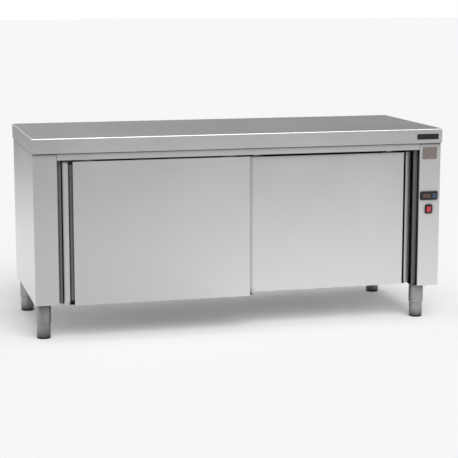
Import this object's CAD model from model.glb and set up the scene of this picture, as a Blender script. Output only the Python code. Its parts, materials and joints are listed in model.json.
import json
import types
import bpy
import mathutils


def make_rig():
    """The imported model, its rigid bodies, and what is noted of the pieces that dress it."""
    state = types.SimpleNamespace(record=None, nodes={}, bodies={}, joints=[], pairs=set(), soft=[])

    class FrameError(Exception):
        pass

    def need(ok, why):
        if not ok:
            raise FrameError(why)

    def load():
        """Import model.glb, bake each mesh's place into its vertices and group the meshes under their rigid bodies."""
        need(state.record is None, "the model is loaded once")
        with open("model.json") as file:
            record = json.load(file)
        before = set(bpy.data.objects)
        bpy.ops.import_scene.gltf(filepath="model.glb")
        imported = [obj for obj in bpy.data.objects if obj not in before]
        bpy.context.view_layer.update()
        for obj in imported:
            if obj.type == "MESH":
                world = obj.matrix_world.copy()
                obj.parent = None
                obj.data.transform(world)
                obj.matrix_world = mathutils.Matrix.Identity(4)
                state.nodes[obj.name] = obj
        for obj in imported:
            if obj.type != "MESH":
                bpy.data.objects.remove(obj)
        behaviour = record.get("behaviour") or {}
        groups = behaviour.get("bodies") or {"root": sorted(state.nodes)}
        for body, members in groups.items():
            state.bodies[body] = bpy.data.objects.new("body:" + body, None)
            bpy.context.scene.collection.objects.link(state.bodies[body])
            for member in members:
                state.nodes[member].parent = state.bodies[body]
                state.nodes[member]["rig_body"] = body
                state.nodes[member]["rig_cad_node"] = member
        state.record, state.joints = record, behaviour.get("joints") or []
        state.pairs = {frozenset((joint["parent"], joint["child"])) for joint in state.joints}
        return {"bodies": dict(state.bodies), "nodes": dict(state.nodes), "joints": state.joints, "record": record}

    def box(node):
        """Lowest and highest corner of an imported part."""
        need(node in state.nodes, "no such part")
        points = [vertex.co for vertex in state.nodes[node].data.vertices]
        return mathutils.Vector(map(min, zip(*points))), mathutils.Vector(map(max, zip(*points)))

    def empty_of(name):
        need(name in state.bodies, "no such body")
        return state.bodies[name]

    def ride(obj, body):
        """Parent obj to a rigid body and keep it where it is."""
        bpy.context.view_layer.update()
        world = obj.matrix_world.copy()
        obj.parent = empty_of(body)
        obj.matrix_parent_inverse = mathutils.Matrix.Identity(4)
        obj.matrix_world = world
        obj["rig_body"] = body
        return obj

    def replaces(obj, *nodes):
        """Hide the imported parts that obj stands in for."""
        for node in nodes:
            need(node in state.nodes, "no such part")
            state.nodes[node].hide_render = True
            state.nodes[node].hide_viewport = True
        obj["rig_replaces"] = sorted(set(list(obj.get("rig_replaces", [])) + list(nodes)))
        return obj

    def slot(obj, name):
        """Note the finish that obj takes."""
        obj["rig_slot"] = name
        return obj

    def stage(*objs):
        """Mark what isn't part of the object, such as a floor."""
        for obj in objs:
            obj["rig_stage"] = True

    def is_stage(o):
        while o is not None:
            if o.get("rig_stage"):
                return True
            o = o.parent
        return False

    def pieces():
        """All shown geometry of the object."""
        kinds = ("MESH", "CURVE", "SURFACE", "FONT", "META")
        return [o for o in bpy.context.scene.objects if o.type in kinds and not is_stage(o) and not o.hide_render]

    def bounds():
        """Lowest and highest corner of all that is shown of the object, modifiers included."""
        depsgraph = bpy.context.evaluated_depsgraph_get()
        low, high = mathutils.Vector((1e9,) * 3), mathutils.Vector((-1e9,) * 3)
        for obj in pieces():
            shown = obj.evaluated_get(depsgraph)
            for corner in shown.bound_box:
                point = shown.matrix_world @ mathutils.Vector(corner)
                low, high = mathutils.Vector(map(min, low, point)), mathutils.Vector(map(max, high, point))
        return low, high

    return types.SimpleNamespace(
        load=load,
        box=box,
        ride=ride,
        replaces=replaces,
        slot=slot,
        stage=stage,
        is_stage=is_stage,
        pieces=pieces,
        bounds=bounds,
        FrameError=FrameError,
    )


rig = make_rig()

bl_info = {
    "name": "Hot cupboard",
    "version": (1, 0, 0),
    "blender": (4, 5, 0),
    "location": "3D View > Sidebar > Hot cupboard",
    "description": "Dresses a steel plate warmer cabinet: sheets, doors, heater, controls and legs",
    "category": "Object",
}

import json
import math

import bmesh
import bpy
from bpy.props import FloatProperty, FloatVectorProperty, IntProperty, PointerProperty
from mathutils import Matrix, Vector

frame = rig.load()
CAD_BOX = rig.bounds()
NODES = frame["nodes"]
BODY_OF = {node: body for body, held in frame["record"]["behaviour"]["bodies"].items() for node in held}
SLOT_OF = {part["node"]: part["material_slot"] for part in frame["record"]["subparts"]}
MM = 0.001
FEET = ("front_left", "front_right", "rear_left", "rear_right")


# ---------------------------------------------------------------- settings

def colour(name, description, default):
    return FloatVectorProperty(
        name=name, description=description, default=default, size=3, min=0, max=1, subtype="COLOR"
    )


def length(name, description, default, low, high):
    return FloatProperty(
        name=name, description=description, default=default, min=low, max=high,
        subtype="DISTANCE", unit="LENGTH", precision=4
    )


class SheetSettings(bpy.types.PropertyGroup):
    steel: colour("Steel", "Colour of the outer sheets", (0.84, 0.84, 0.84))
    inner: colour("Inner steel", "Colour of the chamber's sheets", (0.66, 0.66, 0.665))
    tube: colour("Tube steel", "Colour of the legs", (0.38, 0.38, 0.38))
    galvanised: colour("Galvanised", "Colour of the track and the hidden brackets", (0.58, 0.60, 0.62))
    roughness: FloatProperty(
        name="Roughness", description="How dull the outer sheets are", default=0.34, min=0.1, max=0.8
    )
    grain: FloatProperty(
        name="Grain", description="Depth of the brushed grain", default=0.05, min=0, max=0.5
    )
    edge: length("Edge radius", "Radius of the sheets' folded edges", 0.0004, 0.0001, 0.001)


class ControlSettings(bpy.types.PropertyGroup):
    black: colour("Black", "Colour of the black mouldings", (0.010, 0.010, 0.011))
    window: colour("Window", "Colour of the thermostat's window", (0.022, 0.010, 0.008))
    digit: colour("Digits", "Colour of the digits behind the window", (0.20, 0.07, 0.045))
    keys: colour("Keys", "Colour of the thermostat's keys", (0.045, 0.075, 0.17))
    rocker: colour("Rocker", "Colour of the switch", (0.56, 0.018, 0.045))
    mark: colour("Marks", "Colour of the marks on the keys and the switch", (0.36, 0.36, 0.38))
    plate: colour("Plate", "Colour of the blank rating plate", (0.24, 0.205, 0.19))


class GearSettings(bpy.types.PropertyGroup):
    rubber: colour("Rubber", "Colour of the leg pads", (0.025, 0.025, 0.025))
    seal: colour("Seal", "Colour of the strips beside the doors", (0.13, 0.13, 0.132))
    nylon: colour("Nylon", "Colour of the rollers and terminals", (0.80, 0.79, 0.74))
    wool: colour("Wool", "Colour of the mineral wool", (0.62, 0.54, 0.30))
    sheath: colour("Element", "Colour of the heating rings", (0.34, 0.26, 0.21))
    ribs: IntProperty(name="Motor ribs", description="Cooling ribs round the motor", default=5, min=2, max=7)
    turns: IntProperty(name="Thread turns", description="Turns of thread on a foot's stem", default=7,
                       min=3, max=12)


class StageSettings(bpy.types.PropertyGroup):
    floor: colour("Floor", "Colour of the floor", (0.97, 0.97, 0.97))
    lamp: FloatProperty(name="Lamp", description="Light from the lamp overhead", default=1.55, min=0, max=10)
    surround: FloatProperty(
        name="Surround", description="Light from all around", default=0.52, min=0, max=3
    )
    softness: FloatProperty(
        name="Softness", description="Angle that the lamp fills", default=math.radians(46),
        subtype="ANGLE", unit="ROTATION"
    )


def chosen(group):
    """The scene's settings of a group: sheets, controls, gear or stage."""
    return getattr(bpy.context.scene, "hot_cupboard_" + group)


# ---------------------------------------------------------------- modelling helpers

def pick(*objects):
    """Selects these objects alone; the last one is active."""
    bpy.ops.object.select_all(action="DESELECT")
    for thing in objects:
        thing.select_set(True)
    bpy.context.view_layer.objects.active = objects[-1]


def open_mesh(piece, mode="EDGE"):
    """Goes into edit mode with nothing selected and gives the mesh."""
    pick(piece)
    bpy.ops.object.mode_set(mode="EDIT")
    bpy.ops.mesh.select_mode(type=mode)
    bpy.ops.mesh.select_all(action="DESELECT")
    return bmesh.from_edit_mesh(piece.data)


def close_mesh():
    bpy.ops.object.mode_set(mode="OBJECT")


def select_faces(piece, test):
    """Selects the faces for which test(centre, normal) holds; edit mode stays open."""
    mesh = open_mesh(piece, "FACE")
    for face in mesh.faces:
        face.select_set(bool(test(face.calc_center_median(), face.normal)))
    bmesh.update_edit_mesh(piece.data)


def split_wide_faces(piece):
    """Splits the many-sided faces, whose holes a bevel would otherwise cover, into triangles."""
    mesh = open_mesh(piece, "FACE")
    for face in mesh.faces:
        face.select_set(len(face.verts) > 4)
    bmesh.update_edit_mesh(piece.data)
    bpy.ops.mesh.quads_convert_to_tris(quad_method="BEAUTY", ngon_method="BEAUTY")
    close_mesh()


def select_edges(piece, test):
    """Selects the edges for which test(one end, other end) holds; edit mode stays open."""
    mesh = open_mesh(piece, "EDGE")
    for edge in mesh.edges:
        edge.select_set(bool(test(edge.verts[0].co, edge.verts[1].co)))
    bmesh.update_edit_mesh(piece.data)


def named(piece, name):
    piece.name = name
    piece.data.name = name
    return piece


def bevelled(piece, width, segments, test):
    """Rounds the edges for which test(one end, other end) holds."""
    select_edges(piece, test)
    bpy.ops.mesh.bevel(offset=width, segments=segments, affect="EDGES")
    close_mesh()


def settle(piece, name):
    """Puts the object at the origin, unturned and unscaled, with its place in its mesh."""
    pick(piece)
    bpy.ops.object.transform_apply(location=True, rotation=True, scale=True)
    return named(piece, name)


def block(name, low, high):
    """A box primitive between two corners."""
    low, high = Vector(low), Vector(high)
    bpy.ops.object.select_all(action="DESELECT")
    bpy.ops.mesh.primitive_cube_add(size=1, location=(low + high) / 2)
    piece = bpy.context.object
    piece.scale = high - low
    return settle(piece, name)


def turned(name, profile, centre, axis="Z", steps=48):
    """Spins a profile of (radius, height) points in mm round an axis through centre."""
    bpy.ops.object.select_all(action="DESELECT")
    bpy.ops.mesh.primitive_plane_add(size=1, location=(0, 0, 0))
    piece = bpy.context.object
    bpy.ops.object.mode_set(mode="EDIT")
    bpy.ops.mesh.select_mode(type="VERT")
    bpy.ops.mesh.select_all(action="SELECT")
    bpy.ops.mesh.merge(type="CENTER")
    points = [Vector((radius, 0, height)) * MM for radius, height in profile]
    bpy.ops.transform.translate(value=points[0])
    for before, after in zip(points, points[1:]):
        bpy.ops.mesh.extrude_vertices_move(TRANSFORM_OT_translate={"value": after - before})
    bpy.ops.mesh.select_all(action="SELECT")
    bpy.ops.mesh.spin(steps=steps, angle=math.tau, center=(0, 0, 0), axis=(0, 0, 1))
    bpy.ops.mesh.select_all(action="SELECT")
    bpy.ops.mesh.remove_doubles(threshold=1e-6)
    bpy.ops.mesh.dissolve_degenerate(threshold=1e-7)
    bpy.ops.mesh.select_all(action="SELECT")
    bpy.ops.mesh.normals_make_consistent(inside=False)
    close_mesh()
    if axis == "X":
        piece.rotation_euler = (0, math.pi / 2, 0)
    elif axis == "Y":
        piece.rotation_euler = (-math.pi / 2, 0, 0)
    piece.location = centre
    return settle(piece, name)


def apply_all(piece):
    pick(piece)
    for modifier in [m.name for m in piece.modifiers]:
        bpy.ops.object.modifier_apply(modifier=modifier)


def soften(piece, width, segments=2, angle=30):
    """Rounds the sharp edges and shades the rest evenly."""
    rounding = piece.modifiers.new("rounding", "BEVEL")
    rounding.width = width
    rounding.segments = segments
    rounding.limit_method = "ANGLE"
    rounding.angle_limit = math.radians(angle)
    rounding.miter_outer = "MITER_ARC"
    apply_all(piece)
    return shade(piece)


def shade(piece, angle=38):
    pick(piece)
    bpy.ops.object.shade_smooth_by_angle(angle=math.radians(angle))
    evening = piece.modifiers.new("evening", "WEIGHTED_NORMAL")
    evening.keep_sharp = True
    apply_all(piece)
    return piece


def cut(piece, *tools):
    """Takes the tools' shapes away from a piece."""
    for tool in tools:
        away = piece.modifiers.new("away", "BOOLEAN")
        away.operation = "DIFFERENCE"
        away.solver = "EXACT"
        away.object = tool
        apply_all(piece)
        bpy.data.objects.remove(tool)
    return piece


def join(name, *parts):
    pick(*parts)
    bpy.ops.object.join()
    return named(bpy.context.object, name)


def copied(piece, name, offset=(0, 0, 0)):
    """A copy with its own mesh, moved in the mesh."""
    twin = piece.copy()
    twin.data = piece.data.copy()
    named(twin, name)
    bpy.context.scene.collection.objects.link(twin)
    twin.data.transform(Matrix.Translation(offset))
    return twin


def merged_copy(node, name):
    """A clean copy of a node's mesh: doubles merged and flat faces made whole."""
    mesh = NODES[node].data.copy()
    piece = bpy.data.objects.new(name, mesh)
    mesh.name = name
    mesh.materials.clear()
    bpy.context.scene.collection.objects.link(piece)
    open_mesh(piece)
    bpy.ops.mesh.select_all(action="SELECT")
    bpy.ops.mesh.customdata_custom_splitnormals_clear()
    bpy.ops.mesh.remove_doubles(threshold=2e-6)
    bpy.ops.mesh.dissolve_limited(angle_limit=math.radians(0.5))
    close_mesh()
    return piece


def islands(node):
    """The lowest and highest corner of each separate solid of a node, sorted by place."""
    piece = merged_copy(node, "measuring")
    pick(piece)
    bpy.ops.object.mode_set(mode="EDIT")
    bpy.ops.mesh.select_all(action="SELECT")
    bpy.ops.mesh.separate(type="LOOSE")
    close_mesh()
    found = []
    for part in list(bpy.context.selected_objects):
        points = [vertex.co for vertex in part.data.vertices]
        low = Vector([min(p[i] for p in points) for i in range(3)])
        high = Vector([max(p[i] for p in points) for i in range(3)])
        found.append((low, high))
        bpy.data.objects.remove(part)
    return sorted(found, key=lambda pair: tuple(round(v, 4) for v in pair[0]))


def finish_piece(piece, material, node, body=None, *replaced):
    """Gives a piece its material, its body, its slot and the nodes that it stands for."""
    piece.data.materials.clear()
    piece.data.materials.append(material)
    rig.ride(piece, body or BODY_OF[node])
    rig.slot(piece, SLOT_OF[node])
    if replaced:
        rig.replaces(piece, *replaced)
    return piece


def folded(node, material, width=None, segments=2):
    """A sheet part: the node's own shape with its edges rounded."""
    width = width or chosen("sheets").edge
    piece = merged_copy(node, node + "_sheet")
    split_wide_faces(piece)
    soften(piece, width, segments)
    return finish_piece(piece, material, node, None, node)


def moulded(node, material, width, segments=3):
    """A moulded part: the node's own shape with softer edges."""
    piece = merged_copy(node, node + "_moulding")
    soften(piece, width, segments)
    return finish_piece(piece, material, node, None, node)


# ---------------------------------------------------------------- materials

def gauged(tree, value, low, high, dark=0, light=1):
    """A value that goes from dark to light while another goes from low to high."""
    node = tree.nodes.new("ShaderNodeMapRange")
    for name, number in (("From Min", low), ("From Max", high), ("To Min", dark), ("To Max", light)):
        node.inputs[name].default_value = number
    tree.links.new(value, node.inputs["Value"])
    return node.outputs["Result"]


def mixed(tree, factor, first, second, blend="MIX"):
    """A colour mix; each of its three inputs is a socket or a value."""
    node = tree.nodes.new("ShaderNodeMix")
    node.data_type = "RGBA"
    node.blend_type = blend
    for label, value in (("Factor", factor), ("A", first), ("B", second)):
        if isinstance(value, bpy.types.NodeSocket):
            tree.links.new(value, node.inputs[label])
        else:
            node.inputs[label].default_value = value
    return node.outputs["Result"]


# Share of open sky around a point: where a face is clean, and where it is black in the sheets,
# in the head rail, and in the body's sheets and the pulls
OPEN_SKY = 0.985
CREASE = 0.45
RAIL_CREASE = 0.64
DEEP_CREASE = 0.74
PULL_REACH = 0.02


class Finish:
    """Builds a material's nodes on Object coordinates, once for each name."""

    def __init__(self, name):
        self.material = bpy.data.materials.new(name)
        self.material.use_nodes = True
        self.tree = self.material.node_tree
        self.shader = self.tree.nodes["Principled BSDF"]
        self.place = self.tree.nodes.new("ShaderNodeTexCoord").outputs["Object"]

    def set(self, **values):
        for label, value in values.items():
            self.shader.inputs[label.replace("_", " ").title().replace("Ior", "IOR")].default_value = value
        return self

    def scaled(self, scale):
        mapping = self.tree.nodes.new("ShaderNodeMapping")
        mapping.inputs["Scale"].default_value = scale
        self.tree.links.new(self.place, mapping.inputs["Vector"])
        return mapping.outputs["Vector"]

    def noise(self, scale, detail=3, stretch=(1, 1, 1), roughness=0.5):
        texture = self.tree.nodes.new("ShaderNodeTexNoise")
        texture.inputs["Scale"].default_value = scale
        texture.inputs["Detail"].default_value = detail
        texture.inputs["Roughness"].default_value = roughness
        self.tree.links.new(self.scaled(stretch), texture.inputs["Vector"])
        return texture.outputs["Fac"]

    def cells(self, scale, stretch=(1, 1, 1), output="Color"):
        texture = self.tree.nodes.new("ShaderNodeTexVoronoi")
        texture.inputs["Scale"].default_value = scale
        self.tree.links.new(self.scaled(stretch), texture.inputs["Vector"])
        return texture.outputs[output]

    def ramp(self, value, low, high, dark, light):
        return gauged(self.tree, value, low, high, dark, light)

    def mix(self, value, first, second):
        return mixed(self.tree, value, (*first, 1), (*second, 1))

    def tint(self, value, tone, dark, light, low=0.3, high=0.7):
        """A tone that goes from darker to lighter with a pattern."""
        return self.mix(self.ramp(value, low, high, 0, 1), shaded(tone, dark), shaded(tone, light))

    def add(self, first, second, share=0.5):
        node = self.tree.nodes.new("ShaderNodeMix")
        node.data_type = "FLOAT"
        node.inputs["Factor"].default_value = share
        self.tree.links.new(first, node.inputs["A"])
        self.tree.links.new(second, node.inputs["B"])
        return node.outputs["Result"]

    def creased(self, tone, reach=0.03, darkest=0.04, shut=CREASE):
        """Darkens a tone where a face is shut in, as dust and shade do in creases and pockets."""
        near = self.tree.nodes.new("ShaderNodeAmbientOcclusion")
        near.samples = 8
        near.inputs["Distance"].default_value = reach
        share = self.ramp(near.outputs["AO"], shut, OPEN_SKY, darkest, 1)
        return mixed(self.tree, share, (0, 0, 0, 1), tone)

    def link(self, value, socket):
        self.tree.links.new(value, self.shader.inputs[socket])
        return self

    def bump(self, value, distance, strength=1.0):
        node = self.tree.nodes.new("ShaderNodeBump")
        node.inputs["Distance"].default_value = distance
        node.inputs["Strength"].default_value = strength
        self.tree.links.new(value, node.inputs["Height"])
        self.tree.links.new(node.outputs["Normal"], self.shader.inputs["Normal"])
        return self


def shaded(tone, factor):
    return tuple(min(1, c * factor) for c in tone)


def once(build):
    """Keeps a material after its first making."""
    made = {}

    def give(*words):
        if words not in made:
            made[words] = build(*words)
        return made[words]
    return give


@once
def steel(grain, shut=CREASE, reach=0.03):
    """Satin stainless steel, brushed along the grain axis and black where it is as shut in as this."""
    sheets = chosen("sheets")
    stretch = {"x": (2.5, 260, 260), "y": (260, 2.5, 260), "z": (260, 260, 2.5)}[grain]
    work = Finish(f"satin_steel_{grain}_{shut:.2f}_{reach:.3f}").set(metallic=1.0)
    lines = work.noise(3.4, 4, stretch, 0.6)
    cloud = work.noise(3.1, 3)
    both = work.add(lines, cloud, 0.35)
    tone = work.tint(both, sheets.steel, 0.955, 1.035)
    work.link(work.creased(tone, reach, shut=shut), "Base Color")
    rough = sheets.roughness
    work.link(work.ramp(work.add(cloud, lines, 0.4), 0.3, 0.7, rough - 0.045, rough + 0.055), "Roughness")
    return work.bump(lines, 0.0004, sheets.grain).material


@once
def tube_steel():
    """Darker polished steel of the legs' turned tubes, faintly scored round the tube."""
    tone = chosen("sheets").tube
    work = Finish("tube_steel").set(metallic=1.0)
    rings = work.noise(3.0, 3, (8, 8, 300), 0.6)
    cloud = work.noise(9.0, 3)
    work.link(work.creased(work.tint(cloud, tone, 0.93, 1.06), 0.05, 0.1), "Base Color")
    work.link(work.ramp(cloud, 0.3, 0.7, 0.24, 0.31), "Roughness")
    return work.bump(rings, 0.0004, 0.04).material


@once
def inner_steel():
    """Duller steel of the chamber, with a faint all-over grain."""
    tone = chosen("sheets").inner
    work = Finish("chamber_steel").set(metallic=1.0)
    lines = work.noise(3.0, 4, (3, 180, 180), 0.6)
    cloud = work.noise(6.0, 4)
    work.link(work.creased(work.tint(cloud, tone, 0.93, 1.05), 0.03, 0.1), "Base Color")
    work.link(work.ramp(cloud, 0.3, 0.7, 0.36, 0.46), "Roughness")
    return work.bump(lines, 0.0004, 0.05).material


@once
def galvanised():
    """Zinc with its crystals."""
    tone = chosen("sheets").galvanised
    work = Finish("galvanised").set(metallic=0.9)
    crystals = work.cells(95)
    split = work.tree.nodes.new("ShaderNodeSeparateColor")
    work.tree.links.new(crystals, split.inputs[0])
    work.link(work.mix(split.outputs[0], shaded(tone, 0.86), shaded(tone, 1.1)), "Base Color")
    work.link(work.ramp(split.outputs[1], 0, 1, 0.38, 0.56), "Roughness")
    return work.bump(split.outputs[0], 0.00005, 0.2).material


@once
def wool():
    """Mineral wool: short fibres that lie in all directions, mostly flat."""
    tone = chosen("gear").wool
    work = Finish("mineral_wool").set(roughness=0.95, sheen_weight=0.25, sheen_roughness=0.6)
    fibres = work.noise(90, 6, (1, 1, 3.5), 0.75)
    tufts = work.noise(14, 4, (1, 1, 2))
    both = work.add(fibres, tufts, 0.4)
    work.link(work.tint(both, tone, 0.55, 1.3, 0.3, 0.72), "Base Color")
    return work.bump(fibres, 0.004, 0.8).material


def moulding(name, tone, roughness, grain=700, depth=0.00006, spread=0.12):
    """A moulded plastic or rubber with a fine texture and a slight mottle."""
    work = Finish(name)
    fine = work.noise(grain, 3)
    cloud = work.noise(28, 3)
    work.link(work.tint(cloud, tone, 1 - spread, 1 + spread), "Base Color")
    work.link(work.ramp(fine, 0.3, 0.7, roughness - 0.06, roughness + 0.08), "Roughness")
    work.bump(fine, depth, 0.5)
    return work


# Each moulded finish: settings group, colour, roughness, grain, depth of the grain in metres, mottle
MOULDINGS = {
    "black_plastic": ("controls", "black", 0.42, 700, 0.00006, 0.2),
    "name_strip_enamel": ("controls", "black", 0.4, 500, 0.00002, 0.2),
    "key_plastic": ("controls", "keys", 0.38, 700, 0.00006, 0.12),
    "printed_mark": ("controls", "mark", 0.5, 700, 0.00006, 0.12),
    "pad_rubber": ("gear", "rubber", 0.62, 500, 0.0001, 0.25),
    "seal_rubber": ("gear", "seal", 0.66, 420, 0.0001, 0.12),
}


@once
def plain(name):
    """A moulded finish from the list."""
    group, setting, *rest = MOULDINGS[name]
    tone = getattr(chosen(group), setting)
    return moulding(name, tone, *rest).material


@once
def red_plastic():
    """Tinted, slightly clear plastic with a gloss."""
    work = moulding("red_plastic", chosen("controls").rocker, 0.24, 300, 0.00002)
    work.set(coat_weight=0.5, coat_roughness=0.08, subsurface_weight=0.1, subsurface_scale=0.002)
    return work.material


@once
def nylon():
    work = moulding("nylon", chosen("gear").nylon, 0.42, 260, 0.00005, 0.05)
    return work.set(subsurface_weight=0.15, subsurface_scale=0.003).material


@once
def brass():
    work = moulding("brass", (0.66, 0.46, 0.20), 0.34, 300, 0.00002, 0.08)
    return work.set(metallic=1.0).material


@once
def braided_sleeve():
    """Black woven sleeve round the leads."""
    work = Finish("braided_sleeve").set(roughness=0.7)
    weave = work.cells(620, output="Distance")
    work.link(work.mix(work.ramp(weave, 0, 0.7, 0, 1), (0.012, 0.012, 0.013), (0.06, 0.06, 0.06)),
              "Base Color")
    return work.bump(weave, 0.0002, 0.8).material


@once
def display_window():
    """Dark red window with a faint mottled glow behind it."""
    tone = chosen("controls").window
    work = Finish("display_window").set(roughness=0.12, coat_weight=1.0, coat_roughness=0.05)
    cloud = work.noise(60, 2)
    work.link(work.tint(cloud, tone, 0.75, 1.3), "Base Color")
    work.link(work.mix(work.ramp(cloud, 0.35, 0.65, 0, 1), (0.05, 0.014, 0.010), (0.14, 0.045, 0.03)),
              "Emission Color")
    return work.set(emission_strength=0.25).material


@once
def display_digit():
    tone = chosen("controls").digit
    work = moulding("display_digit", tone, 0.3)
    work.link(work.mix(work.noise(400, 2), shaded(tone, 0.8), shaded(tone, 1.5)), "Emission Color")
    return work.set(emission_strength=0.35).material


@once
def printed_plate():
    """Brownish metal plate, printed all over with fine specks."""
    tone = chosen("controls").plate
    work = Finish("printed_plate").set(metallic=0.35, roughness=0.45)
    specks = work.ramp(work.noise(900, 3, roughness=0.7), 0.42, 0.6, 0, 1)
    patches = work.ramp(work.noise(190, 2, (1, 1, 2.4)), 0.4, 0.62, 0, 1)
    both = work.add(specks, patches, 0.45)
    work.link(work.mix(both, shaded(tone, 0.42), shaded(tone, 1.7)), "Base Color")
    return work.bump(specks, 0.00003, 0.3).material


@once
def heated_sheath():
    """Sheath of a heating ring, tinted straw and blue by the heat."""
    tone = chosen("gear").sheath
    work = Finish("heated_sheath").set(metallic=0.9)
    tint = work.noise(34, 4, (1, 1, 1), 0.6)
    work.link(work.mix(work.ramp(tint, 0.35, 0.65, 0, 1), tone, (0.20, 0.20, 0.30)), "Base Color")
    work.link(work.ramp(tint, 0.3, 0.7, 0.35, 0.55), "Roughness")
    return work.bump(work.noise(300, 3), 0.00005, 0.4).material


# ---------------------------------------------------------------- pieces

class CupboardStep:
    """What every operator of the cabinet shares."""
    bl_options = {"REGISTER"}

    def execute(self, context):
        try:
            self.make()
        except Exception as problem:
            raise RuntimeError(f"{self.bl_label} can't be finished: {problem}") from problem
        return {"FINISHED"}


class HOT_CUPBOARD_OT_worktop(CupboardStep, bpy.types.Operator):
    """Makes the folded worktop and the channels that stiffen it"""
    bl_idname = "hot_cupboard.worktop"
    bl_label = "Worktop"

    def make(self):
        folded("worktop", steel("x"))
        folded("worktop_channels", galvanised())


class HOT_CUPBOARD_OT_body(CupboardStep, bpy.types.Operator):
    """Makes the sides, back, base, stile, fascia, partition and head rail"""
    bl_idname = "hot_cupboard.body"
    bl_label = "Body sheets"

    def make(self):
        for node in ("side_panel_left", "side_panel_right", "front_stile", "control_fascia"):
            folded(node, steel("z", DEEP_CREASE))
        folded("head_rail", steel("x", RAIL_CREASE))
        folded("base_tray", steel("x", DEEP_CREASE))
        folded("back_panel", steel("x"))
        folded("control_partition", inner_steel())


class HOT_CUPBOARD_OT_doors(CupboardStep, bpy.types.Operator):
    """Makes the sheets of both doors, with their recessed pulls"""
    bl_idname = "hot_cupboard.doors"
    bl_label = "Doors"

    def make(self):
        for side in ("left", "right"):
            folded(side + "_door_skin", steel("z"))
            folded(side + "_door_pull", steel("z", DEEP_CREASE, PULL_REACH))
            folded(side + "_door_inner", inner_steel())


class HOT_CUPBOARD_OT_door_gear(CupboardStep, bpy.types.Operator):
    """Makes the track, the bottom guide, the hangers and the rollers"""
    bl_idname = "hot_cupboard.door_gear"
    bl_label = "Door gear"

    def make(self):
        folded("door_track", galvanised(), 0.3 * MM)
        folded("door_guide", galvanised(), 0.4 * MM)
        wheel = [(4, 2.2), (5, 2.2), (5.5, 2.5), (12.4, 2.5), (13, 3.1), (13, 7.9), (12.4, 8.5),
                 (11, 8.5), (10.5, 7.6), (6.5, 7.6), (6, 8.5), (4, 8.5), (4, 8.9), (3.4, 9.5), (0, 9.5)]
        profile = [(r, -y) for r, y in reversed(wheel)] + wheel
        low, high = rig.box("left_roller_outer")
        first = turned("roller", profile, (low + high) / 2, "Y")
        shade(first, 32)
        for side in ("left", "right"):
            folded(side + "_door_hangers", galvanised(), 0.3 * MM)
            for end in ("outer", "inner"):
                node = f"{side}_roller_{end}"
                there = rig.box(node)
                offset = (there[0] + there[1] - low - high) / 2
                finish_piece(copied(first, node + "_turned", offset), nylon(), node, None, node)
        bpy.data.objects.remove(first)


class HOT_CUPBOARD_OT_chamber(CupboardStep, bpy.types.Operator):
    """Makes the chamber's walls, the temperature probe and the strips beside the doors"""
    bl_idname = "hot_cupboard.chamber"
    bl_label = "Chamber"

    def make(self):
        for node in ("liner_wrap", "liner_left"):
            folded(node, inner_steel(), 0.3 * MM)
        folded("liner_right", inner_steel(), 0.2 * MM, 1)
        moulded("temperature_probe", inner_steel(), 0.5 * MM)
        moulded("jamb_seals", plain("seal_rubber"), 1.5 * MM, 4)


class HOT_CUPBOARD_OT_shelves(CupboardStep, bpy.types.Operator):
    """Makes the slotted uprights with their clips, and the two shelves"""
    bl_idname = "hot_cupboard.shelves"
    bl_label = "Shelves"

    def make(self):
        folded("shelf_rack", inner_steel(), 0.25 * MM, 1)
        for side in ("left", "right"):
            folded("shelf_" + side, inner_steel(), 0.5 * MM)


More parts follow.
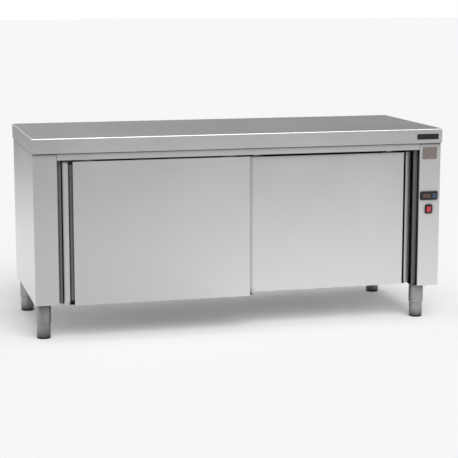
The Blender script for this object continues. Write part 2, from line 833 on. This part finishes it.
class HOT_CUPBOARD_OT_heater(CupboardStep, bpy.types.Operator):
    """Makes the heater box, the heating rings, the fan and its motor"""
    bl_idname = "hot_cupboard.heater"
    bl_label = "Heater"

    def make(self):
        folded("heater_box", galvanised(), 0.3 * MM)
        rings = merged_copy("heating_element", "heating_element_rings")
        shade(rings, 50)
        finish_piece(rings, heated_sheath(), "heating_element", None, "heating_element")
        self.motor(chosen("gear").ribs)
        self.impeller()

    def motor(self, ribs):
        low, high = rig.box("fan_motor")
        y, z = (low.y + high.y) / 2, (low.z + high.z) / 2
        plate = block("plate", low, (low.x + 2 * MM, high.y, high.z))
        bevelled(plate, 9 * MM, 6, lambda a, b: abs(a.x - b.x) > MM)
        bore = turned("bore", [(0, -3), (9, -3), (9, 5), (0, 5)], (low.x, y, z), "X")
        cut(plate, bore)
        outline = [(4.1, 2), (33, 2), (33, 6), (36, 7)]
        pitch = 36 / ribs
        for i in range(ribs):
            start = 7 + i * pitch
            outline += [(40, start + 1), (40, start + pitch * 0.5), (36.5, start + pitch * 0.55),
                        (36.5, start + pitch * 0.95)]
        outline += [(38, 46), (36, 50), (28, 52), (14, 52), (13.5, 56), (12.5, 57), (0, 57), (0, 31),
                    (4.1, 31), (4.1, 2)]
        case = turned("case", outline, (low.x, y, z), "X")
        motor = join("fan_motor_turned", plate, case)
        soften(motor, 0.3 * MM)
        finish_piece(motor, galvanised(), "fan_motor", None, "fan_motor")

    def impeller(self):
        low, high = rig.box("fan_impeller")
        y, z = (low.y + high.y) / 2, (low.z + high.z) / 2
        tip = (high.y - low.y) / 2 / MM
        long = (high.x - low.x) / MM
        ring_outline = [(tip - 18, 0), (tip - 14, 0), (tip, 1.2), (tip, 2), (tip - 14, 1.4), (tip - 18, 1.2),
                        (tip - 18, 0)]
        ring = turned("ring", ring_outline, (low.x, y, z), "X", 72)
        back_outline = [(0, 8), (11, 8), (12, 9), (12, 30), (16, 33.5), (tip, 34), (tip, 35.6), (12, 36),
                        (4, 36), (4, long - 0.6), (3.4, long), (0, long)]
        back = turned("back", back_outline, (low.x, y, z), "X", 72)
        blade = block("blade", (low.x + 1 * MM, y + (tip - 32) * MM, z - 0.7 * MM),
                      (low.x + 35 * MM, y + (tip - 3) * MM, z + 0.7 * MM))
        middle = Vector((low.x, y + (tip - 18) * MM, z))
        lean = Matrix.Translation(middle) @ Matrix.Rotation(math.radians(24), 4, "X")
        blade.data.transform(lean @ Matrix.Translation(-middle))
        parts = [ring, back]
        centre = Vector((low.x, y, z))
        for i in range(12):
            turn = Matrix.Translation(centre) @ Matrix.Rotation(i * math.tau / 12, 4, "X")
            vane = copied(blade, f"vane_{i}")
            vane.data.transform(turn @ Matrix.Translation(-centre))
            parts.append(vane)
        bpy.data.objects.remove(blade)
        fan = join("fan_impeller_blades", *parts)
        soften(fan, 0.2 * MM)
        finish_piece(fan, inner_steel(), "fan_impeller", None, "fan_impeller")


class HOT_CUPBOARD_OT_insulation(CupboardStep, bpy.types.Operator):
    """Makes the mineral wool slabs round the chamber and in the doors"""
    bl_idname = "hot_cupboard.insulation"
    bl_label = "Insulation"

    def make(self):
        clouds = bpy.data.textures.new("wool_tufts", "CLOUDS")
        clouds.noise_scale = 0.035
        clouds.noise_depth = 3
        for node in ("insulation", "left_door_insulation", "right_door_insulation"):
            for i, (low, high) in enumerate(islands(node)):
                inset = Vector((2, 2, 2)) * MM
                slab = block(f"{node}_slab_{i}", low + inset, high - inset)
                grid = slab.modifiers.new("grid", "REMESH")
                grid.mode = "VOXEL"
                grid.voxel_size = 9 * MM
                tufts = slab.modifiers.new("tufts", "DISPLACE")
                tufts.texture = clouds
                tufts.texture_coords = "LOCAL"
                tufts.strength = 3 * MM
                apply_all(slab)
                pick(slab)
                bpy.ops.object.shade_smooth()
                finish_piece(slab, wool(), node, None, node)


class HOT_CUPBOARD_OT_thermostat(CupboardStep, bpy.types.Operator):
    """Makes the thermostat: its front, window, digits and two keys"""
    bl_idname = "hot_cupboard.thermostat"
    bl_label = "Thermostat"

    def make(self):
        rounded_front("thermostat", 1.1 * MM, 0.25 * MM)
        moulded("thermostat_window", display_window(), 0.15 * MM, 2)
        self.digits()
        for node, turn in (("key_up", 1), ("key_down", -1)):
            low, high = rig.box(node)
            moulded(node, plain("key_plastic"), 0.5 * MM, 4)
            bpy.ops.object.select_all(action="DESELECT")
            bpy.ops.mesh.primitive_cylinder_add(
                vertices=3, radius=2.1 * MM, depth=0.3 * MM,
                location=((low.x + high.x) / 2, low.y, (low.z + high.z) / 2 - turn * 0.5 * MM),
                rotation=(math.pi / 2, 0 if turn > 0 else math.pi, 0)
            )
            mark = settle(bpy.context.object, node + "_mark")
            soften(mark, 0.1 * MM)
            finish_piece(mark, plain("printed_mark"), node)

    def digits(self):
        """Three unlit digits of seven bars each, leaning a little to the right."""
        low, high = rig.box("thermostat_window")
        bar_long, bar_thick = 5.6, 1.1
        digit_w, pitch = 7.0, 11.4
        bars = [(0, bar_long, True), (0, 0, True), (0, -bar_long, True)]
        bars += [(x, z, False) for x in (-digit_w / 2, digit_w / 2) for z in (-bar_long / 2, bar_long / 2)]
        centre = Vector(((low.x + high.x) / 2, low.y, (low.z + high.z) / 2))
        parts = []
        for digit in (-1, 0, 1):
            for x, z, lying in bars:
                half_x = (digit_w / 2 - 0.8) if lying else bar_thick / 2
                half_z = bar_thick / 2 if lying else bar_long / 2 - 0.5
                middle = Vector((digit * pitch + x + z * 0.1, 0, z))
                bar = block("bar", centre + (middle - Vector((half_x, 0.06, half_z))) * MM,
                            centre + (middle + Vector((half_x, 0.05, half_z))) * MM)
                bevelled(bar, 0.45 * MM, 1, lambda a, b: abs(a.y - b.y) > 0.05 * MM)
                parts.append(bar)
        piece = join("thermostat_digits", *parts)
        finish_piece(piece, display_digit(), "thermostat_window")


def rounded_front(node, front_radius, edge_radius):
    """A moulded frame whose outer front edge has a larger radius than the rest."""
    low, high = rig.box(node)
    piece = merged_copy(node, node + "_moulding")
    reach = 3 * MM

    def on_outline(p):
        on_side = min(p.x - low.x, high.x - p.x, p.z - low.z, high.z - p.z) < reach
        return on_side and p.y - low.y < 0.01 * MM

    bevelled(piece, front_radius, 4, lambda a, b: on_outline(a) and on_outline(b))
    split_wide_faces(piece)
    soften(piece, edge_radius)
    return finish_piece(piece, plain("black_plastic"), node, None, node)


class HOT_CUPBOARD_OT_switch(CupboardStep, bpy.types.Operator):
    """Makes the rocker switch and its two marks"""
    bl_idname = "hot_cupboard.switch"
    bl_label = "Rocker switch"

    def make(self):
        rounded_front("switch_housing", 0.8 * MM, 0.2 * MM)
        moulded("switch_rocker", red_plastic(), 0.5 * MM, 4)
        pivot = Vector(joint_place("rocker_swing"))
        tilt = Matrix.Translation(pivot) @ Matrix.Rotation(math.radians(7), 4, "X")
        line = block("line", (-0.5 * MM, -0.12 * MM, -2.4 * MM), (0.5 * MM, 0.12 * MM, 2.4 * MM))
        ring_outline = [(1.6, -0.12), (2.4, -0.12), (2.4, 0.12), (1.6, 0.12), (1.6, -0.12)]
        ring = turned("ring", ring_outline, (0, 0, 0), "Y", 32)
        for name, mark, height in (("switch_mark_on", line, 7.2), ("switch_mark_off", ring, -7.2)):
            lean = math.atan2(2.2, 12.6) * (1 if height > 0 else -1)
            place = Matrix.Translation(Vector((0, -9.28, height)) * MM) @ Matrix.Rotation(lean, 4, "X")
            mark.data.transform(tilt @ place)
            shade(named(mark, name))
            finish_piece(mark, plain("printed_mark"), "switch_rocker")


def joint_place(name):
    """Where a hinge's axis passes."""
    return next(joint["pos_m"] for joint in frame["joints"] if joint["name"] == name)


class HOT_CUPBOARD_OT_plates(CupboardStep, bpy.types.Operator):
    """Makes the blank name strip and the blank rating plate"""
    bl_idname = "hot_cupboard.plates"
    bl_label = "Plates"

    def make(self):
        moulded("name_strip", plain("name_strip_enamel"), 0.3 * MM, 3)
        plate = merged_copy("rating_plate", "rating_plate_sheet")
        bevelled(plate, 2 * MM, 5, lambda a, b: abs(a.y - b.y) > 0.1 * MM)
        select_faces(plate, lambda centre, normal: normal.y < -0.9)
        bpy.ops.mesh.inset(thickness=1.4 * MM)
        bpy.ops.transform.translate(value=(0, 0.12 * MM, 0))
        close_mesh()
        soften(plate, 0.08 * MM, 1)
        finish_piece(plate, printed_plate(), "rating_plate", None, "rating_plate")


class HOT_CUPBOARD_OT_legs(CupboardStep, bpy.types.Operator):
    """Makes the four legs: sleeve, plate, adjustable foot and pad"""
    bl_idname = "hot_cupboard.legs"
    bl_label = "Legs"

    def make(self):
        plates = islands("legs")
        sleeve_outline = [(29.1, 66), (30.2, 66), (30.8, 66.8), (31.6, 71), (32, 74.5), (32, 143.6),
                          (32.6, 144.4), (33.6, 145.6), (34.3, 147), (30.5, 147), (30.5, 75.5),
                          (29.1, 74.5), (29.1, 66)]
        foot_outline = [(0, 6), (27.4, 6), (28.4, 6.6), (29, 8), (29, 13), (28.7, 13.4), (28.7, 14),
                        (29, 14.4), (29, 113), (28, 115.4), (26, 116), (7.5, 116), (7.5, 117.5), (5.4, 118)]
        turns = chosen("gear").turns
        pitch = 21 / turns
        for i in range(turns):
            foot_outline += [(6, 118.5 + (i + 0.3) * pitch), (5.3, 118.5 + (i + 0.8) * pitch)]
        foot_outline += [(5.3, 141), (4.4, 142), (0, 142)]
        pad_outline = [(0, 0), (26.8, 0), (28, 0.7), (28.5, 2), (28.5, 3.4), (28.1, 3.8), (28.1, 4.2),
                       (28.5, 4.6), (28.5, 6), (0, 6)]
        sleeve = turned("sleeve", sleeve_outline, (0, 0, 0), steps=72)
        foot = turned("foot", foot_outline, (0, 0, 0), steps=72)
        pad = turned("pad", pad_outline, (0, 0, 0), steps=64)
        for piece in (sleeve, foot, pad):
            shade(piece, 32)
        for place in FEET:
            low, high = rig.box("foot_" + place)
            spot = Vector(((low.x + high.x) / 2, (low.y + high.y) / 2, 0))
            under = next(p for p in plates if p[0].x < spot.x < p[1].x and p[0].y < spot.y < p[1].y)
            plate = block("plate", (under[0].x, under[0].y, under[1].z - 3 * MM), under[1])
            bevelled(plate, 7 * MM, 6, lambda a, b: abs(a.z - b.z) > MM)
            soften(plate, 0.5 * MM)
            leg = join(f"leg_{place}_sleeve", plate, copied(sleeve, "sleeve_part", spot))
            finish_piece(leg, tube_steel(), "legs", None, "legs")
            finish_piece(copied(foot, f"foot_{place}_turned", spot), tube_steel(), "foot_" + place, None,
                         "foot_" + place)
            finish_piece(copied(pad, f"pad_{place}_turned", spot), plain("pad_rubber"), "pad_" + place, None,
                         "pad_" + place)
        for piece in (sleeve, foot, pad):
            bpy.data.objects.remove(piece)


class HOT_CUPBOARD_OT_screws(CupboardStep, bpy.types.Operator):
    """Makes the pan-head screws of the back, the base and the fascia"""
    bl_idname = "hot_cupboard.screws"
    bl_label = "Screws"

    def make(self):
        heads = []
        for low, high in islands("screws"):
            size = high - low
            middle = (low + high) / 2
            tall = min(size) / MM
            if size.y < size.z:
                place = (Matrix.Translation((middle.x, low.y, middle.z))
                         @ Matrix.Rotation(-math.pi / 2, 4, "X"))
            else:
                tall = size.z / MM
                place = Matrix.Translation((middle.x, middle.y, high.z)) @ Matrix.Rotation(math.pi, 4, "X")
            head = pan_head(tall)
            head.data.transform(place)
            heads.append(head)
        piece = join("panel_screws", *heads)
        finish_piece(piece, galvanised(), "screws", None, "screws")


def pan_head(tall):
    """A screw head with a cross recess, standing on the origin."""
    base = tall - 1.8
    outline = [(0, 0), (2.4, 0), (2.4, base), (4, base), (4, base + 0.5), (3.7, base + 1), (3, base + 1.45),
               (1.9, base + 1.7), (0, tall)]
    if base < 0.1:
        outline = [(0, 0)] + outline[3:]
    head = turned("head", outline, (0, 0, 0), steps=24)
    bars = []
    for half in ((2.1, 0.4), (0.4, 2.1)):
        bars.append(block("bar", Vector((-half[0], -half[1], tall - 0.9)) * MM,
                          Vector((half[0], half[1], tall + 0.2)) * MM))
    cut(head, *bars)
    return shade(head, 35)


class HOT_CUPBOARD_OT_electrics(CupboardStep, bpy.types.Operator):
    """Makes the terminals, the safety thermostat, the cable gland and the leads"""
    bl_idname = "hot_cupboard.electrics"
    bl_label = "Electrical parts"

    def make(self):
        moulded("electrical_block", nylon(), 0.6 * MM)
        moulded("cable_gland", plain("black_plastic"), 0.6 * MM)
        self.terminal_screws()
        self.harness()

    def terminal_screws(self):
        low, high = islands("electrical_block")[0]
        heads = []
        for i in range(5):
            head = turned("head", [(0, 0), (2.7, 0), (2.7, 1.2), (2.2, 1.6), (0, 1.6)], (0, 0, 0), steps=24)
            slit = block("slit", Vector((-3, -0.35, 0.9)) * MM, Vector((3, 0.35, 2)) * MM)
            cut(head, slit)
            shade(head)
            spot = (low.x + (10 + 10 * i) * MM, low.y + 5 * MM, (low.z + high.z) / 2)
            head.data.transform(Matrix.Translation(spot) @ Matrix.Rotation(math.pi / 2, 4, "X"))
            heads.append(head)
        piece = join("terminal_screws", *heads)
        piece.data.materials.clear()
        piece.data.materials.append(brass())
        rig.ride(piece, "cabinet")

    def harness(self):
        """Sleeved leads from the terminals to the thermostat, the switch and the fan, with ties."""
        low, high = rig.box("wiring")
        radius = 3 * MM
        trunk_x, fan_end, top = high.x - radius, high.y, high.z - radius
        panel_x, foot = low.x + radius, low.z + radius
        trunk_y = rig.box("control_partition")[1].y - 61.2 * MM
        switch_z = joint_place("rocker_swing")[2]
        fan_z = joint_place("fan_spin")[2]
        block_y = islands("electrical_block")[0][0].y
        routes = [
            [(trunk_x, block_y, foot), (trunk_x, trunk_y, foot), (trunk_x, trunk_y, top),
             (trunk_x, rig.box("thermostat")[1].y, top)],
            [(trunk_x, trunk_y, fan_z - 14 * MM), (trunk_x, trunk_y, fan_z), (trunk_x, fan_end, fan_z)],
            [(trunk_x, trunk_y, switch_z), (panel_x, trunk_y, switch_z), (panel_x, low.y, switch_z)],
        ]
        tubes = [tube(f"lead_{i}", [Vector(p) for p in route], 2.6 * MM, 9 * MM)
                 for i, route in enumerate(routes)]
        ties = []
        for z in (0.26, 0.31, 0.40, 0.45, 0.52):
            ties.append(turned("tie", [(2.5, -1.2), (2.95, -1.2), (2.95, 1.2), (2.5, 1.2), (2.5, -1.2)],
                               (trunk_x, trunk_y, z), steps=24))
        piece = join("wiring_harness", *ties, *tubes)
        shade(piece, 45)
        finish_piece(piece, braided_sleeve(), "wiring", None, "wiring")


def tube(name, points, radius, bend):
    """A round tube along straight runs, with bends of a given radius between them."""
    path = [points[0]]
    for before, corner, after in zip(points, points[1:], points[2:]):
        back = (before - corner).normalized()
        on = (after - corner).normalized()
        reach = min(bend, (before - corner).length / 2, (after - corner).length / 2)
        start, end = corner + back * reach, corner + on * reach
        for i in range(7):
            t = i / 6
            path.append(start * (1 - t) ** 2 + corner * 2 * t * (1 - t) + end * t ** 2)
    path.append(points[-1])
    curve = bpy.data.curves.new(name, "CURVE")
    curve.dimensions = "3D"
    curve.bevel_depth = radius
    curve.bevel_resolution = 4
    curve.use_fill_caps = True
    spline = curve.splines.new("POLY")
    spline.points.add(len(path) - 1)
    for spot, place in zip(spline.points, path):
        spot.co = (*place, 1)
    piece = bpy.data.objects.new(name, curve)
    bpy.context.scene.collection.objects.link(piece)
    pick(piece)
    bpy.ops.object.convert(target="MESH")
    return bpy.context.object


# ---------------------------------------------------------------- stage

# Where the photo was taken from: place in metres, degrees down and to the right, lens in millimetres
PHOTO_PLACE = (-1.6229, -6.2965, 1.4623)
PHOTO_DIP = 9.4155
PHOTO_TURN = 14.6605
PHOTO_LENS = 114.88
# The way the lamp's light falls
LAMP_FALL = (-0.06, 0.85, -1)
# How bright the surroundings look in the metal, from behind the left to the front right,
# each as (share of the way, brightness)
FRONT_RIGHT = (0.643, -0.766, 0)
WORLD_STEPS = [(0.0, 0.75), (0.10, 0.55), (0.16, 0.34), (0.28, 0.28), (0.80, 0.20), (0.95, 0.22),
               (0.985, 0.45)]
FLOOR_STEPS = [(0.0, 1.0), (0.15, 1.0), (0.45, 0.62), (0.82, 0.74), (0.92, 0.98), (0.95, 0.94), (0.975, 1.0)]
# How the floor looks in the metal from near to far, each as (share of the reach in metres, brightness)
FADE_REACH = 12
FLOOR_FADE = [(0.0, 1.0), (0.2, 1.0), (0.37, 0.78), (0.54, 0.46), (0.67, 0.32), (1.0, 0.22)]


class HOT_CUPBOARD_OT_stage(CupboardStep, bpy.types.Operator):
    """Sets up the floor, the soft light and the camera"""
    bl_idname = "hot_cupboard.stage"
    bl_label = "Stage"

    def make(self):
        scene = bpy.context.scene
        scene.view_settings.view_transform = "Standard"
        self.floor(chosen("stage"))
        self.light(chosen("stage"))
        self.camera(scene)

    def camera(self, scene):
        view = bpy.data.cameras.new("photo_view")
        view.lens = PHOTO_LENS
        view.sensor_width = 36
        view.clip_end = 200
        camera = bpy.data.objects.new("photo_view", view)
        camera.location = PHOTO_PLACE
        camera.rotation_euler = (math.radians(90 - PHOTO_DIP), 0, -math.radians(PHOTO_TURN))
        scene.collection.objects.link(camera)
        scene.camera = camera

    def floor(self, stage):
        bpy.ops.object.select_all(action="DESELECT")
        bpy.ops.mesh.primitive_plane_add(size=120, location=(0, 0, -0.0002))
        floor = bpy.context.object
        floor.name = "studio_floor"
        material = bpy.data.materials.new("studio_floor")
        material.use_nodes = True
        nodes, links = material.node_tree.nodes, material.node_tree.links
        nodes.clear()
        place = nodes.new("ShaderNodeTexCoord").outputs["Object"]
        tree = material.node_tree
        glossy_tone = floor_fade(tree, place, surround_gradient(tree, place, FLOOR_STEPS))
        path = nodes.new("ShaderNodeLightPath")
        tone = mixed(tree, path.outputs["Is Glossy Ray"], (*stage.floor, 1), glossy_tone)
        diffuse = nodes.new("ShaderNodeBsdfDiffuse")
        links.new(tone, diffuse.inputs["Color"])
        lift = nodes.new("ShaderNodeEmission")
        links.new(path.outputs["Is Camera Ray"], lift.inputs["Strength"])
        lift.inputs["Color"].default_value = (0.06, 0.06, 0.06, 1)
        both = nodes.new("ShaderNodeAddShader")
        links.new(diffuse.outputs[0], both.inputs[0])
        links.new(lift.outputs[0], both.inputs[1])
        output = nodes.new("ShaderNodeOutputMaterial")
        links.new(both.outputs[0], output.inputs["Surface"])
        floor.data.materials.append(material)
        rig.stage(floor)

    def light(self, stage):
        world = bpy.data.worlds.new("studio")
        bpy.context.scene.world = world
        world.use_nodes = True
        nodes, links = world.node_tree.nodes, world.node_tree.links
        background = nodes["Background"]
        direction = nodes.new("ShaderNodeTexCoord").outputs["Generated"]
        glossy_tone = surround_gradient(world.node_tree, direction, WORLD_STEPS)
        path = nodes.new("ShaderNodeLightPath")
        plain_tone = (stage.surround, stage.surround, stage.surround, 1)
        tone = mixed(world.node_tree, path.outputs["Is Glossy Ray"], plain_tone, glossy_tone)
        seen = mixed(world.node_tree, path.outputs["Is Camera Ray"], tone, (1, 1, 1, 1))
        links.new(seen, background.inputs["Color"])
        lamp = bpy.data.lights.new("overhead_lamp", "SUN")
        lamp.energy = stage.lamp
        lamp.angle = stage.softness
        holder = bpy.data.objects.new("overhead_lamp", lamp)
        holder.rotation_euler = Vector(LAMP_FALL).to_track_quat("-Z", "Y").to_euler()
        bpy.context.scene.collection.objects.link(holder)


def vector_math(tree, operation, value, other=None, output="Vector"):
    node = tree.nodes.new("ShaderNodeVectorMath")
    node.operation = operation
    tree.links.new(value, node.inputs[0])
    if other:
        node.inputs[1].default_value = other
    return node.outputs[output]


def surround_gradient(tree, place, steps):
    """A tone that depends on the horizontal direction from the cabinet's middle."""
    level = vector_math(tree, "NORMALIZE", vector_math(tree, "MULTIPLY", place, (1, 1, 0)))
    along = vector_math(tree, "DOT_PRODUCT", level, FRONT_RIGHT, "Value")
    return tone_steps(tree, gauged(tree, along, -1, 1), steps)


def floor_fade(tree, place, tone):
    """Lets the floor's tone fall with the distance from the cabinet."""
    away = vector_math(tree, "LENGTH", place, output="Value")
    return mixed(tree, 1, tone, tone_steps(tree, gauged(tree, away, 0, FADE_REACH), FLOOR_FADE), "MULTIPLY")


def tone_steps(tree, share, steps):
    """A grey that follows (share, brightness) steps."""
    ramp = tree.nodes.new("ShaderNodeValToRGB")
    ramp.color_ramp.interpolation = "EASE"
    stops = ramp.color_ramp.elements
    while len(stops) < len(steps):
        stops.new(0.5)
    for stop, (place_on, tone) in zip(stops, steps):
        stop.position = place_on
        stop.color = (tone, tone, tone, 1)
    tree.links.new(share, ramp.inputs["Fac"])
    return ramp.outputs["Color"]


# ---------------------------------------------------------------- panel and main

STEPS = (
    HOT_CUPBOARD_OT_stage, HOT_CUPBOARD_OT_worktop, HOT_CUPBOARD_OT_body, HOT_CUPBOARD_OT_doors,
    HOT_CUPBOARD_OT_door_gear, HOT_CUPBOARD_OT_chamber, HOT_CUPBOARD_OT_shelves, HOT_CUPBOARD_OT_heater,
    HOT_CUPBOARD_OT_insulation, HOT_CUPBOARD_OT_thermostat, HOT_CUPBOARD_OT_switch,
    HOT_CUPBOARD_OT_plates, HOT_CUPBOARD_OT_legs, HOT_CUPBOARD_OT_screws, HOT_CUPBOARD_OT_electrics,
)
GROUPS = {
    "hot_cupboard_sheets": SheetSettings,
    "hot_cupboard_controls": ControlSettings,
    "hot_cupboard_gear": GearSettings,
    "hot_cupboard_stage": StageSettings,
}


class HOT_CUPBOARD_PT_sidebar(bpy.types.Panel):
    """Lists the cabinet's settings and the steps that build it"""
    bl_idname = "HOT_CUPBOARD_PT_sidebar"
    bl_label = "Hot cupboard"
    bl_space_type = "VIEW_3D"
    bl_region_type = "UI"
    bl_category = "Hot cupboard"

    def draw(self, context):
        for group, kind in GROUPS.items():
            column = self.layout.column(align=True)
            for setting in kind.__annotations__:
                column.prop(getattr(context.scene, group), setting)
        column = self.layout.column(align=True)
        for step in STEPS:
            column.operator(step.bl_idname, text=step.bl_label)


def register():
    for kind in (*GROUPS.values(), *STEPS, HOT_CUPBOARD_PT_sidebar):
        bpy.utils.register_class(kind)
    for group, kind in GROUPS.items():
        setattr(bpy.types.Scene, group, PointerProperty(type=kind))


def unregister():
    for group in GROUPS:
        delattr(bpy.types.Scene, group)
    for kind in reversed((*GROUPS.values(), *STEPS, HOT_CUPBOARD_PT_sidebar)):
        bpy.utils.unregister_class(kind)


def main():
    register()
    for step in STEPS:
        family, name = step.bl_idname.split(".")
        getattr(getattr(bpy.ops, family), name)()
    bpy.context.view_layer.update()
    boxes = {"cad": CAD_BOX, "visual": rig.bounds()}
    with open("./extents.json", "w") as file:
        json.dump({name: [list(corner) for corner in box] for name, box in boxes.items()}, file)


if __name__ == "__main__":
    main()
